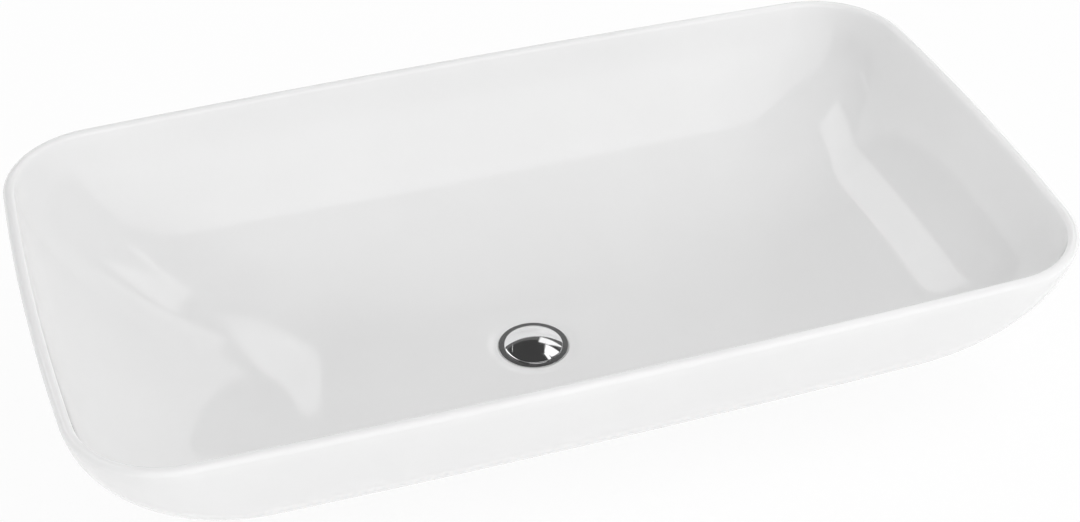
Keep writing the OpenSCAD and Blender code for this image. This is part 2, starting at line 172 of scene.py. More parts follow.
def makeGlaze():
    glaze = {"clear": (0.905, 0.905, 0.905), "deep": (0.881, 0.881, 0.881), "mottleScale": 7.0,
             "ior": 1.52, "leastDull": 0.035, "mostDull": 0.075, "dullScale": 22.0,
             "waveScale": 38.0, "waveStrength": 0.35, "waveHeight": 0.00012,
             "grainScale": 260.0, "grainStrength": 0.3, "grainHeight": 0.00001}
    f = Finish("whiteGlaze")
    f.put("IOR", glaze["ior"])
    f.tint(f.noise(glaze["mottleScale"], detail=3.0), glaze["clear"], glaze["deep"])
    f.dull(f.noise(glaze["dullScale"], detail=3.0), glaze["leastDull"], glaze["mostDull"])
    wave = f.bump(f.noise(glaze["waveScale"], detail=1.0),
                  glaze["waveStrength"], glaze["waveHeight"])
    f.bump(f.noise(glaze["grainScale"], detail=1.0),
           glaze["grainStrength"], glaze["grainHeight"], under=wave)
    return f.material


def makeBareClay():
    clay = {"light": (0.79, 0.77, 0.73), "dark": (0.68, 0.66, 0.62), "mottleScale": 60.0,
            "roughness": 0.85, "grainScale": 900.0, "grainStrength": 0.5, "grainHeight": 0.0002}
    f = Finish("groundClay")
    f.put("Roughness", clay["roughness"])
    f.tint(f.noise(clay["mottleScale"], detail=5.0), clay["light"], clay["dark"])
    f.bump(f.noise(clay["grainScale"], detail=3.0), clay["grainStrength"], clay["grainHeight"])
    return f.material


def makeChrome():
    chrome = {"light": (0.93, 0.93, 0.935), "dark": (0.90, 0.90, 0.905), "mottleScale": 90.0,
              "leastDull": 0.035, "mostDull": 0.09, "dullScale": 150.0,
              "grainScale": 400.0, "grainStrength": 0.1, "grainHeight": 0.00001}
    f = Finish("chromePlate")
    f.put("Metallic", 1.0)
    f.tint(f.noise(chrome["mottleScale"], detail=3.0), chrome["light"], chrome["dark"])
    f.dull(f.noise(chrome["dullScale"], detail=4.0), chrome["leastDull"], chrome["mostDull"])
    f.bump(f.noise(chrome["grainScale"], detail=1.0),
           chrome["grainStrength"], chrome["grainHeight"])
    return f.material


def makeTurned(name, light, dark, roughness, ringPitch, ringHeight):
    # turned metal: fine rings that stack along the drain's axis
    turned = {"ringStretch": 30, "ringStrength": 0.25,
              "dullScale": 120.0, "duller": 0.08, "brighter": 0.05}
    f = Finish(name)
    f.put("Metallic", 1.0)
    rings = f.noise(1.0, stretch=(turned["ringStretch"], turned["ringStretch"], ringPitch))
    f.tint(rings, light, dark)
    f.dull(f.noise(turned["dullScale"], detail=4.0),
           roughness - turned["brighter"], roughness + turned["duller"])
    f.bump(rings, turned["ringStrength"], ringHeight)
    return f.material


def makeRubber():
    rubber = {"dark": (0.030, 0.030, 0.031), "light": (0.052, 0.051, 0.050), "mottleScale": 140.0,
              "leastDull": 0.50, "mostDull": 0.68, "dullScale": 300.0,
              "grainScale": 1500.0, "grainStrength": 0.3, "grainHeight": 0.00004}
    f = Finish("blackRubber")
    f.tint(f.noise(rubber["mottleScale"], detail=4.0), rubber["dark"], rubber["light"])
    f.dull(f.noise(rubber["dullScale"], detail=3.0), rubber["leastDull"], rubber["mostDull"])
    f.bump(f.noise(rubber["grainScale"]), rubber["grainStrength"], rubber["grainHeight"])
    return f.material


def makePlastic(name, light, dark, roughness):
    plastic = {"mottleScale": 70.0, "dullScale": 200.0, "duller": 0.08, "brighter": 0.06,
               "grainScale": 900.0, "grainStrength": 0.2, "grainHeight": 0.00003}
    f = Finish(name)
    f.tint(f.noise(plastic["mottleScale"], detail=3.0), light, dark)
    f.dull(f.noise(plastic["dullScale"], detail=3.0),
           roughness - plastic["brighter"], roughness + plastic["duller"])
    f.bump(f.noise(plastic["grainScale"]), plastic["grainStrength"], plastic["grainHeight"])
    return f.material


finishes = {
    "glaze": makeGlaze(),
    "clay": makeBareClay(),
    "chrome": makeChrome(),
    "brass": makeTurned("turnedBrass", light=(0.80, 0.62, 0.30), dark=(0.70, 0.52, 0.24),
                        roughness=0.28, ringPitch=1400.0, ringHeight=0.00003),
    "steel": makeTurned("stainlessSteel", light=(0.62, 0.63, 0.65), dark=(0.52, 0.53, 0.55),
                        roughness=0.30, ringPitch=1600.0, ringHeight=0.00002),
    "rubber": makeRubber(),
    "nylon": makePlastic("naturalNylon", light=(0.80, 0.80, 0.75), dark=(0.74, 0.73, 0.68),
                         roughness=0.42),
    "acetal": makePlastic("greyAcetal", light=(0.055, 0.062, 0.070), dark=(0.040, 0.045, 0.052),
                          roughness=0.32),
}
for name, node in nodes.items():
    node.data.materials.clear()
    node.data.materials.append(finishes[slotOf[name]])
print("materials made:", len(finishes))


basin = {
    # the outline at the rim: bowed sides and rounded corners
    "halfLength": 354.5, "halfWidth": 200.0, "height": 148.0, "cornerR": 70.0,
    "longBow": 7.3, "shortBow": 9.4, "cornerShare": 0.93,
    # the lip and the walls
    "rimT": 8.0, "wallT": 10.0, "lean": 7.9, "outerLow": 2.0,
    "bellySide": 146.0, "bellyEnd": 200.0, "bellyCornerR": 55.0,
    # the foot ring and the hollow inside it; each row of an edge is an inset and a height
    "footHeight": 5.0, "footRing": 14.0, "footHollow": 6.0, "hollowFillet": 2.5,
    "footInside": ((0.0, 0.7), (-0.2, 0.2), (-0.7, 0.0)),
    "footOutside": ((0.8, 0.0), (0.25, 0.2), (0.0, 0.8), (0.0, 3.2)),
    "bareHeight": 0.3,
    # the floor and the dish round the drain
    "floorCornerR": 52.0, "floorFall": 3.5, "dishR": 36.0, "dishEdge": 18.0, "dishLow": 17.1,
    # the flange's seat and the hole; each row of an edge is a change of radius and height
    "seatZ": 14.5, "seatR": 26.4, "seatRound": 0.6, "holeR": 22.5,
    "seatEdge": ((0.25, -0.02), (0.07, -0.09), (0.0, -0.3)),
    "seatCorner": ((0.0, 0.1), (-0.1, 0.0), (-2.0, 0.0)),
    "holeEdge": ((0.7, 0.0), (0.2, -0.2), (0.0, -0.7)),
    "holeStraight": 4.0, "holeChamfer": 0.8,
    # points in a quarter of each ring, and rows in each surface
    "shortSteps": 8, "cornerSteps": 16, "longSteps": 14,
    "ceilingShares": (0.0, 0.12, 0.35, 0.65, 1.0), "filletRows": 4,
    "outerRows": 30, "lipRows": 16, "innerRows": 36, "floorRows": 20, "dishRows": 8,
}


def bowRadius(half, bow):
    return (half * half + bow * bow) / (2 * bow)


def outlineRing(insetX, insetY, radius, z):
    # three tangent arcs a quarter: half a short side, a corner and half a long side
    a = basin["halfLength"] - insetX
    b = basin["halfWidth"] - insetY
    r = min(radius, basin["cornerShare"] * b)
    longR = bowRadius(basin["halfLength"], basin["longBow"])
    shortR = bowRadius(basin["halfWidth"], basin["shortBow"])
    longC, shortC = Vector((0, b - longR)), Vector((a - shortR, 0))
    gap = (shortC - longC).length
    along = (shortC - longC) / gap
    t = ((longR - r) ** 2 - (shortR - r) ** 2 + gap * gap) / (2 * gap)
    h = math.sqrt((longR - r) ** 2 - t * t)
    cornerC = longC + along * t + Vector((along.y, -along.x)) * h
    shortEnd = math.atan2(cornerC.y - shortC.y, cornerC.x - shortC.x)
    longStart = math.atan2(cornerC.y - longC.y, cornerC.x - longC.x)
    spans = ((shortC, shortR, 0.0, shortEnd, basin["shortSteps"]),
             (cornerC, r, shortEnd, longStart, basin["cornerSteps"]),
             (longC, longR, longStart, math.pi / 2, basin["longSteps"]))
    quarter = []
    for centre, arcR, start, end, steps in spans:
        for i in range(steps):
            w = start + (end - start) * i / steps
            quarter.append(centre + arcR * Vector((math.cos(w), math.sin(w))))
    quarter.append(Vector((0, b)))
    return mirrorRound(quarter, z)


def roundRing(r, z):
    n = basin["shortSteps"] + basin["cornerSteps"] + basin["longSteps"]
    turns = [math.pi / 2 * i / n for i in range(n + 1)]
    return mirrorRound([Vector((math.cos(w), math.sin(w))) * r for w in turns], z)


def mirrorRound(quarter, z):
    ring = [(p.x, p.y) for p in quarter[:-1]]
    ring += [(-p.x, p.y) for p in reversed(quarter[1:])]
    ring += [(-p.x, -p.y) for p in quarter[:-1]]
    ring += [(p.x, -p.y) for p in reversed(quarter[1:])]
    return [Vector((x, y, z)) for x, y in ring]


def blendRings(first, second, t, z):
    pairs = zip(first, second)
    return [Vector((p.x + (q.x - p.x) * t, p.y + (q.y - p.y) * t, z)) for p, q in pairs]


def buildBasin():
    b = basin
    rimR = b["rimT"] / 2
    rimZ = b["height"] - rimR
    lean = math.tan(math.radians(b["lean"]))
    outerDrop = rimZ - b["outerLow"]
    dishDrop = rimZ - b["dishEdge"]
    innerDrop = dishDrop - b["floorFall"]
    bellyTurn = math.asin((rimZ - b["footHeight"]) / outerDrop)

    def outerRow(angle):
        # the outside's insets, corner and height at one angle of its arc
        u, fall = 1 - math.cos(angle), outerDrop * math.sin(angle)
        share = u / (1 - math.cos(bellyTurn))
        r = b["cornerR"] + (b["bellyCornerR"] - b["cornerR"]) * share
        return (b["bellyEnd"] * u + lean * fall, b["bellySide"] * u + lean * fall, r, rimZ - fall)

    def hollowOf(belly, drop):
        # the inside's belly that keeps the wall's thickness halfway round the outside's arc
        half = math.sin(math.radians(45))
        p = Vector((lean * outerDrop * half + belly * (1 - half), outerDrop * half))
        t = Vector((lean * outerDrop * half + belly * half, outerDrop * half)).normalized()
        q = p + b["wallT"] * Vector((t.y, -t.x))
        angle = math.asin(q.y / drop)
        return (q.x - b["rimT"] - lean * q.y) / (1 - math.cos(angle))

    hollowEnd = hollowOf(b["bellyEnd"], innerDrop)
    hollowSide = hollowOf(b["bellySide"], dishDrop)
    floorReach = b["halfLength"] - b["rimT"] - hollowEnd - lean * innerDrop - b["dishR"]
    floorTurn = math.atan(innerDrop * floorReach / (2 * b["floorFall"] * hollowEnd))

    def innerRing(angle):
        u, fall = 1 - math.cos(angle), innerDrop * math.sin(angle)
        startR = b["cornerR"] - b["rimT"]
        return outlineRing(b["rimT"] + hollowEnd * u + lean * fall,
                           b["rimT"] + hollowSide * u + lean * fall,
                           startR + (b["floorCornerR"] - startR) * u, 0.0)

    # underside, from the drain hole out to the foot
    footX, footY, footR, _ = outerRow(bellyTurn)
    ringX, ringY = footX + b["footRing"], footY + b["footRing"]
    ceiling, fillet, bellyR = b["footHollow"], b["hollowFillet"], b["bellyCornerR"]
    rings = [roundRing(b["holeR"], ceiling + b["holeChamfer"])]
    holeLip = roundRing(b["holeR"] + b["holeChamfer"], ceiling)
    hollowEdge = outlineRing(ringX + fillet, ringY + fillet, bellyR, ceiling)
    for t in b["ceilingShares"]:
        rings.append(blendRings(holeLip, hollowEdge, t, ceiling))
    for i in range(1, b["filletRows"] + 1):
        w = math.radians(90 * i / b["filletRows"])
        inset, z = fillet * (1 - math.sin(w)), ceiling - fillet * (1 - math.cos(w))
        rings.append(outlineRing(ringX + inset, ringY + inset, bellyR, z))
    for inset, z in b["footInside"]:
        rings.append(outlineRing(ringX + inset, ringY + inset, bellyR, z))
    for inset, z in b["footOutside"]:
        rings.append(outlineRing(footX + inset, footY + inset, footR, z))
    # the soft line where the belly meets the foot, then up the outside
    for i in range(b["outerRows"], -1, -1):
        rings.append(outlineRing(*outerRow(bellyTurn * i / b["outerRows"])))
    # over the lip
    for i in range(1, b["lipRows"]):
        w = math.radians(180 * i / b["lipRows"])
        inset = rimR * (1 - math.cos(w))
        rings.append(outlineRing(inset, inset, b["cornerR"] - inset, rimZ + rimR * math.sin(w)))
    # down the inside to the floor; the wall's first row is left out, so that the lip turns into
    # the leaning wall without an upright step
    floorEdge = innerRing(floorTurn)
    reach = [p.xy.length - b["dishR"] for p in floorEdge]
    rise = [b["floorFall"] * r / reach[0] for r in reach]
    for i in range(1, b["innerRows"] + 1):
        angle = floorTurn * i / b["innerRows"]
        share = math.sin(angle) / math.sin(floorTurn)
        row = zip(innerRing(angle), rise)
        rings.append([Vector((p.x, p.y, rimZ - (dishDrop - h) * share)) for p, h in row])
    # the floor, which falls to the dish alike from every side and flattens out on the way
    dishRim = roundRing(b["dishR"], 0.0)
    for i in range(1, b["floorRows"] + 1):
        t = i / b["floorRows"]
        row = zip(blendRings(floorEdge, dishRim, t, 0.0), rise)
        rings.append([Vector((p.x, p.y, b["dishEdge"] + h * (1 - t) ** 2)) for p, h in row])
    # the dish, the seat of the flange and the hole
    dishEnd = b["seatR"] + b["seatRound"]
    for i in range(1, b["dishRows"] + 1):
        t = i / b["dishRows"]
        drop = (b["dishLow"] - b["dishEdge"]) * (1 - math.cos(math.pi * t)) / 2
        rings.append(roundRing(b["dishR"] + (dishEnd - b["dishR"]) * t, b["dishEdge"] + drop))
    for edgeR, edgeZ, rows in ((b["seatR"], b["dishLow"], b["seatEdge"]),
                               (b["seatR"], b["seatZ"], b["seatCorner"]),
                               (b["holeR"], b["seatZ"], b["holeEdge"])):
        for r, z in rows:
            rings.append(roundRing(edgeR + r, edgeZ + z))
    rings.append(roundRing(b["holeR"], ceiling + b["holeStraight"]))
    bm = loftRings(rings)
    for face in bm.faces:
        bare = all(v.co.z < b["bareHeight"] for v in face.verts)
        face.material_index = 1 if bare else 0     # the ground face that stands on the counter
    finishMesh("glazedBasin", bm, [finishes["glaze"], finishes["clay"]], fixedBody, "basin",
               sharpAngle=60.0)


buildBasin()
print("basin made")


waste = {
    # the flange, the bore and its throat; each row of the edge is a change of radius and height
    "flangeTop": 17.5, "flangeR": 26.0, "flangeT": 2.0, "flangeFlat": 0.5, "flangeSoft": 0.25,
    "flangeChamfer": 0.15, "boreR": 17.5, "boreChamfer": 0.5, "throatR": 20.2, "throatH": 4.5,
    "throatEdge": ((-0.05, -0.3), (0.25, 0.0), (0.5, 0.0)), "steps": 144,
    # the collar in the drain hole, the neck, and the tail
    "collarR": 21.6, "collarLength": 5.0, "collarChamfer": 0.4,
    "neckR": 19.355, "neckTop": 0.4, "neckFoot": 0.8,
    "tailR": 20.955, "tailZ": -65.0, "tailLength": 20.0, "tailChamfer": 0.9,
    # the two threads; the shares are of the pitch, and the run-out is in turns
    "nutThreadR": 20.605, "nutThreadEnd": -24.0, "pitch": 2.309, "threadDepth": 0.95,
    "crestShare": 0.12, "rootShare": 0.42, "sunkShare": 0.48, "threadSunk": 0.3,
    "runOut": 0.5, "threadSteps": 48,
    # the spider that carries the cartridge: a hub and three arms
    "spiderTop": -32.0, "spiderT": 5.0, "spiderSteps": 64,
    "hubR": 7.0, "hubChamfer": 0.5, "screwR": 3.15, "screwChamfer": 0.3,
    "armW": 3.0, "armLower": 0.1, "armSoft": 0.6, "armInWall": 0.6, "armInHub": 1.2,
    "armAngles": (90, 210, 330),
}


def threadRidge(bm, crestR, rootR, low, high):
    # a helical ridge over the core, which runs out at both ends
    w = waste
    pitch, perTurn = w["pitch"], w["threadSteps"]
    rise = high - low - pitch
    turns = rise / pitch
    steps = round(turns * perTurn)
    start = low + pitch / 2
    flank = [(rootR - w["threadSunk"], w["sunkShare"]), (rootR, w["rootShare"]),
             (crestR, w["crestShare"])]
    profile = [(r, -share) for r, share in flank] + flank[::-1]
    verts = [bm.verts.new((r, 0.0, start + share * pitch)) for r, share in profile]
    face = bm.faces.new(verts)
    before = set(bm.verts) - set(verts)
    bmesh.ops.spin(bm, geom=[face], cent=(0, 0, 0), axis=(0, 0, 1), dvec=(0, 0, pitch / perTurn),
                   angle=2 * math.pi * steps / perTurn, steps=steps)
    for v in bm.verts:
        r = math.hypot(v.co.x, v.co.y)
        if v in before or r <= rootR + 0.01:    # only the ridge's crest is moved
            continue
        along = (v.co.z - start) / rise
        ends = (max(0.0, along), max(0.0, 1 - along))
        keep = min(1.0, *(end * turns / w["runOut"] for end in ends))
        scale = (rootR + (r - rootR) * keep) / r
        v.co.x *= scale
        v.co.y *= scale


def buildWaste():
    w = waste
    top, flangeLow = w["flangeTop"], w["flangeTop"] - w["flangeT"]
    collarLow = flangeLow - w["collarLength"]
    nutRoot, tailRoot = w["nutThreadR"] - w["threadDepth"], w["tailR"] - w["threadDepth"]
    tailTop = w["tailZ"] + w["tailLength"]
    boreR, flangeR, collarR, hubR = w["boreR"], w["flangeR"], w["collarR"], w["hubR"]
    soft, flangeC, collarC = w["flangeSoft"], w["flangeChamfer"], w["collarChamfer"]
    # up the bore and over the throat to the flange
    profile = [(boreR + w["boreChamfer"], w["tailZ"]), (boreR, w["tailZ"] + w["boreChamfer"]),
               (boreR, top - w["throatH"])]
    profile += [(w["throatR"] + r, top + z) for r, z in w["throatEdge"]]
    profile += [(flangeR - w["flangeFlat"], top)]
    profile += arcPoints(flangeR - soft, top - soft, soft, 90, 0, 4)
    profile += [(flangeR, flangeLow + flangeC), (flangeR - flangeC, flangeLow)]
    # down the collar, the nut's thread, the neck and the tail
    profile += [(collarR, flangeLow), (collarR, collarLow + collarC),
                (collarR - collarC, collarLow), (nutRoot, collarLow),
                (nutRoot, w["nutThreadEnd"]), (w["neckR"], w["nutThreadEnd"] - w["neckTop"]),
                (w["neckR"], tailTop + w["neckFoot"]), (tailRoot, tailTop),
                (tailRoot, w["tailZ"] + w["tailChamfer"]),
                (tailRoot - w["tailChamfer"], w["tailZ"])]
    bm = bmesh.new()
    spinProfile(bm, profile, w["steps"])
    threadRidge(bm, w["nutThreadR"], nutRoot, w["nutThreadEnd"], collarLow)
    threadRidge(bm, w["tailR"], tailRoot, w["tailZ"], tailTop)
    # the spider
    low, high = w["spiderTop"] - w["spiderT"], w["spiderTop"]
    hubC, screwR, screwC = w["hubChamfer"], w["screwR"], w["screwChamfer"]
    spinProfile(bm, [(screwR, low + screwC), (screwR, high - screwC), (screwR + screwC, high),
                     (hubR - hubC, high), (hubR, high - hubC), (hubR, low + hubC),
                     (hubR - hubC, low), (screwR + screwC, low)], w["spiderSteps"])
    reach = boreR + w["armInWall"] - hubR + w["armInHub"]
    for angle in w["armAngles"]:
        cube = bmesh.ops.create_cube(bm, size=1.0)["verts"]
        bmesh.ops.scale(bm, vec=(reach, w["armW"], w["spiderT"] - w["armLower"]), verts=cube)
        bmesh.ops.translate(bm, vec=(hubR - w["armInHub"] + reach / 2, 0, (low + high) / 2),
                            verts=cube)
        edges = list(dict.fromkeys(e for v in cube for e in v.link_edges))
        made = bmesh.ops.bevel(bm, geom=edges, offset=w["armSoft"], offset_type="OFFSET",
                               segments=3, profile=0.5, affect="EDGES", material=-1)["verts"]
        bmesh.ops.rotate(bm, cent=(0, 0, 0), verts=list(dict.fromkeys(made)),
                         matrix=Matrix.Rotation(math.radians(angle), 3, "Z"))
    finishMesh("wasteShell", bm, [finishes["chrome"]], fixedBody, "waste_body")


buildWaste()
print("waste made")


seals = {
    "holeR": 20.905, "steps": 128,
    "gasketTop": 6.0, "gasketLow": -3.0, "gasketR": 31.0, "topSoft": 0.6, "taper": 36,
    "bulgeR": 30.1, "bulgeDrop": 3.0, "bulgeSoft": 0.9, "footR": 26.2, "footSoft": 0.8,
    "washerR": 27.5, "washerT": 1.5, "washerSoft": 0.4, "washerChamfer": 0.2,
}


def buildSeals():
    s = seals
    # the taper presses against the ceramic, and bulges where the washer squeezes it
    holeR, high, low, taper = s["holeR"], s["gasketTop"], s["gasketLow"], s["taper"]
    foot, bulge, soft = s["footSoft"], s["bulgeSoft"], s["topSoft"]
    profile = [(holeR, low), (s["footR"], low)]
    profile += arcPoints(s["footR"], low + foot, foot, -90, -taper, 4)
    profile += arcPoints(s["bulgeR"], high - s["bulgeDrop"], bulge, -taper, 0, 3)
    profile += arcPoints(s["gasketR"] - soft, high - soft, soft, 0, 90, 4)
    profile += [(holeR, high)]
    bm = bmesh.new()
    spinProfile(bm, profile, s["steps"])
    finishMesh("taperedRubber", bm, [finishes["rubber"]], fixedBody, "underside_gasket")
    # the washer lies under it
    high, low = low, low - s["washerT"]
    soft, chamfer = s["washerSoft"], s["washerChamfer"]
    profile = [(holeR, low + chamfer), (holeR + chamfer, low)]
    profile += arcPoints(s["washerR"] - soft, low + soft, soft, -90, 0, 3)
    profile += arcPoints(s["washerR"] - soft, high - soft, soft, 0, 90, 3)
    profile += [(holeR + chamfer, high), (holeR, high - chamfer)]
    bm = bmesh.new()
    spinProfile(bm, profile, s["steps"])
    finishMesh("slipWasher", bm, [finishes["nylon"]], fixedBody, "slip_washer")


nuts = {
    "backNut": {"replaced": "back_nut", "flat": 52.0, "holeR": 20.655,
                "low": -13.5, "high": -4.5, "count": 120},
    "cartridgeNut": {"replaced": "base_nut", "flat": 10.0, "holeR": 3.05,
                     "low": -43.0, "high": -38.0, "count": 72},
}
nutEdges = {"holeChamferR": 0.4, "holeChamferH": 0.25, "faceShare": 0.97, "cornerSlope": 0.75,
            "rows": 6}


def hexRing(flat, r, z, count):
    # a hexagon that is cut by a circle of radius r, as a chamfer cuts it
    ring = []
    for i in range(count):
        w = 2 * math.pi * i / count
        toFlat = (w % (math.pi / 3)) - math.pi / 6
        reach = min(flat / 2 / math.cos(toFlat), r)
        ring.append(Vector((reach * math.cos(w), reach * math.sin(w), z)))
    return ring


def buildNut(name, nut):
    halfFlat, low, high = nut["flat"] / 2, nut["low"], nut["high"]
    cornerR = halfFlat / math.cos(math.pi / 6)
    faceR = halfFlat * nutEdges["faceShare"]
    slope = (cornerR - halfFlat) * nutEdges["cornerSlope"]
    holeR, holeH = nut["holeR"], nutEdges["holeChamferH"]
    holeEdgeR = holeR + nutEdges["holeChamferR"]
    shares = [i / nutEdges["rows"] for i in range(nutEdges["rows"] + 1)]
    rows = [(holeR, low + holeH), (holeEdgeR, low)]
    rows += [(faceR + (cornerR - faceR) * t, low + slope * t) for t in shares]
    rows += [(faceR + (cornerR - faceR) * t, high - slope * t) for t in reversed(shares)]
    rows += [(holeEdgeR, high), (holeR, high - holeH)]
    bm = loftRings([hexRing(nut["flat"], r, z, nut["count"]) for r, z in rows])
    finishMesh(name, bm, [finishes["brass"]], fixedBody, nut["replaced"], sharpAngle=25.0)


buildSeals()
for name, settings in nuts.items():
    buildNut(name, settings)
print("seals and nuts made")


plug = {
    "capR": 21.5, "capLow": 17.8, "edgeH": 0.4, "rise": 4.2, "edgeSoft": 0.3, "edgeChamfer": 0.2,
    "recess": 1.0, "recessR": 19.1, "bossR": 5.0, "bossLow": 13.4, "bossChamfer": 0.3,
    "studR": 2.55, "studTop": 18.5, "domeRows": 40, "steps": 144,
}
plugSeal = {"innerR": 16.5, "inset": 0.25, "lowFlat": 0.5, "lowSoft": 0.3, "highSoft": 0.35,
            "slopeTurn": -31, "steps": 128}


def buildPlug():
    p = plug
    capR, capLow, soft = p["capR"], p["capLow"], p["edgeSoft"]
    domeTop, recessTop = capLow + p["edgeH"] + p["rise"], capLow + p["recess"]
    sphereR = (capR ** 2 + p["rise"] ** 2) / (2 * p["rise"])
    sphereZ = domeTop - sphereR
    # the dome ends in a small rounding that turns down to the upright edge
    tilt = math.asin((capR - soft) / (sphereR - soft))
    softZ = sphereZ + (sphereR - soft) * math.cos(tilt)
    profile = [(0.0, domeTop)]
    for i in range(1, p["domeRows"]):
        w = tilt * i / p["domeRows"]
        profile.append((sphereR * math.sin(w), sphereZ + sphereR * math.cos(w)))
    profile += arcPoints(capR - soft, softZ, soft, 90 - math.degrees(tilt), 0, 6)
    # down the edge, then over the recess, the boss and the stud's hole
    profile += [(capR, capLow + p["edgeChamfer"]), (capR - p["edgeChamfer"], capLow),
                (p["recessR"], capLow), (p["recessR"], recessTop), (p["bossR"], recessTop),
                (p["bossR"], p["bossLow"] + p["bossChamfer"]),
                (p["bossR"] - p["bossChamfer"], p["bossLow"]),
                (p["studR"], p["bossLow"]), (p["studR"], p["studTop"]), (0.0, p["studTop"])]
    bm = bmesh.new()
    spinProfile(bm, profile, p["steps"], closed=False)
    finishMesh("plugDome", bm, [finishes["chrome"]], "plug", "plug_cap")


def buildPlugSeal():
    s = plugSeal
    lowest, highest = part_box("cap_seal")
    low, high, outerR = lowest.z / mm, highest.z / mm, highest.x / mm
    # its side follows the throat that it shuts
    slope = (waste["throatR"] - waste["boreR"]) / waste["throatH"]
    lowR = outerR - slope * (high - low) + s["inset"]
    lowSoft, highSoft, turn = s["lowSoft"], s["highSoft"], s["slopeTurn"]
    profile = [(s["innerR"], low), (lowR - s["lowFlat"], low)]
    profile += arcPoints(lowR - lowSoft, low + lowSoft, lowSoft, -90, turn, 3)
    profile += arcPoints(outerR - highSoft, high - highSoft, highSoft, turn, 90, 6)
    profile += [(s["innerR"], high)]
    bm = bmesh.new()
    spinProfile(bm, profile, s["steps"])
    finishMesh("plugSeal", bm, [finishes["rubber"]], "plug", "cap_seal")


buildPlug()
buildPlugSeal()
print("plug made")


# the lamps light the object, and the cards and the canopy show in its gloss alone
studio = {
    "ambient": 0.29, "background": 1.0,
    "counterReach": 4.0, "counterInner": 0.5, "counterHoleR": 0.0375, "counterZ": -0.0004,
    "counterShade": 0.07, "counterColour": (0.92, 0.92, 0.92, 1.0),
    "canopyR": 8.0, "canopyEdge": 10.0, "canopyTurn": 40.0,
    "wallGlow": 0.13, "ceilingGlow": 0.050,
    "lampSize": 1.5, "lampDistance": 2.6, "lampTarget": (0.0, 0.0, 0.09),
}
lamps = {
    "frontLeftLow": {"azimuth": -135.0, "elevation": 12.0, "power": 19.8},
    "frontLeftHigh": {"azimuth": -135.0, "elevation": 62.0, "power": 8.1},
    "frontRightLow": {"azimuth": 135.0, "elevation": 12.0, "power": 19.6},
    "frontRightHigh": {"azimuth": 135.0, "elevation": 62.0, "power": 22.7},
    "backLeftLow": {"azimuth": -45.0, "elevation": 12.0, "power": 15.1},
    "backRightLow": {"azimuth": 45.0, "elevation": 12.0, "power": 14.9},
    "backRightHigh": {"azimuth": 45.0, "elevation": 62.0, "power": 9.6},
    "backLow": {"azimuth": 0.0, "elevation": 8.0, "power": 10.0},
}
cards = {
    "frontCard": {"corners": ((-2.5, -2.5, 0.0), (1.95, -2.5, 0.0),
                              (1.95, -2.5, 3.6), (-2.5, -2.5, 3.6)),
                  "glow": 1.1, "soft": 0.04},
    "stripCard": {"corners": ((-1.95, 0.25, 3.0), (-0.95, 0.45, 3.0),
                              (-1.30, 3.75, 3.0), (-2.72, 4.60, 3.0)),
                  "glow": 1.6, "soft": 0.05},
    # lies in a plane through the plug's dome, which sees it edge-on
    "patchCard": {"corners": ((-0.093, 0.246, 0.300), (-0.117, 0.229, 0.338),
                              (-0.073, 0.367, 0.311), (-0.063, 0.358, 0.288)),
                  "glow": 1.5, "soft": 0.0},
    "lineCard": {"corners": ((1.115, 1.00, 2.45), (1.45, -0.39, 2.45),
                             (1.25, -0.33, 2.60), (0.96, 0.86, 2.60)),
                 "glow": 1.2, "soft": 0.0},
    "cornerCard": {"corners": ((1.40, 3.13, 2.06), (2.97, 1.72, 2.06),
                               (1.79, 2.13, 2.88), (1.20, 2.56, 2.83)),
                   "glow": 1.05, "soft": 0.12},
    "domeCard": {"corners": ((1.20, 1.72, 2.06), (2.08, 0.80, 1.98),
                             (1.37, 0.50, 2.64), (1.02, 1.03, 2.62)),
                 "glow": 1.15, "soft": 0.12},
}


def direction(azimuth, elevation):
    # azimuth 0 is behind the basin, and 90 is on its right
    a, e = math.radians(azimuth), math.radians(elevation)
    return Vector((math.sin(a) * math.cos(e), math.cos(a) * math.cos(e), math.sin(e)))


def addLamp(name, settings):
    lamp = bpy.data.lights.new(name, "AREA")
    lamp.shape = "SQUARE"
    lamp.size = studio["lampSize"]
    lamp.energy = settings["power"]
    holder = bpy.data.objects.new(name, lamp)
    away = direction(settings["azimuth"], settings["elevation"])
    holder.location = Vector(studio["lampTarget"]) + away * studio["lampDistance"]
    holder.rotation_euler = away.to_track_quat("Z", "Y").to_euler()
    holder.visible_camera = False
    holder.visible_glossy = False
    bpy.context.scene.collection.objects.link(holder)


def emptyTree(owner):
    owner.use_nodes = True
    for node in list(owner.node_tree.nodes):
        owner.node_tree.nodes.remove(node)
    return owner.node_tree


def addMath(tree, operation, first, second):
    # each side is a number or another node's output
    node = tree.nodes.new("ShaderNodeMath")
    node.operation = operation
    for socket, value in zip(node.inputs, (first, second)):
        if isinstance(value, float):
            socket.default_value = value
        else:
            tree.links.new(value, socket)
    return node.outputs[0]


def addMix(tree, amount, first, second):
    node = tree.nodes.new("ShaderNodeMixShader")
    for socket, value in zip(node.inputs, (amount, first, second)):
        tree.links.new(value, socket)
    return node.outputs[0]


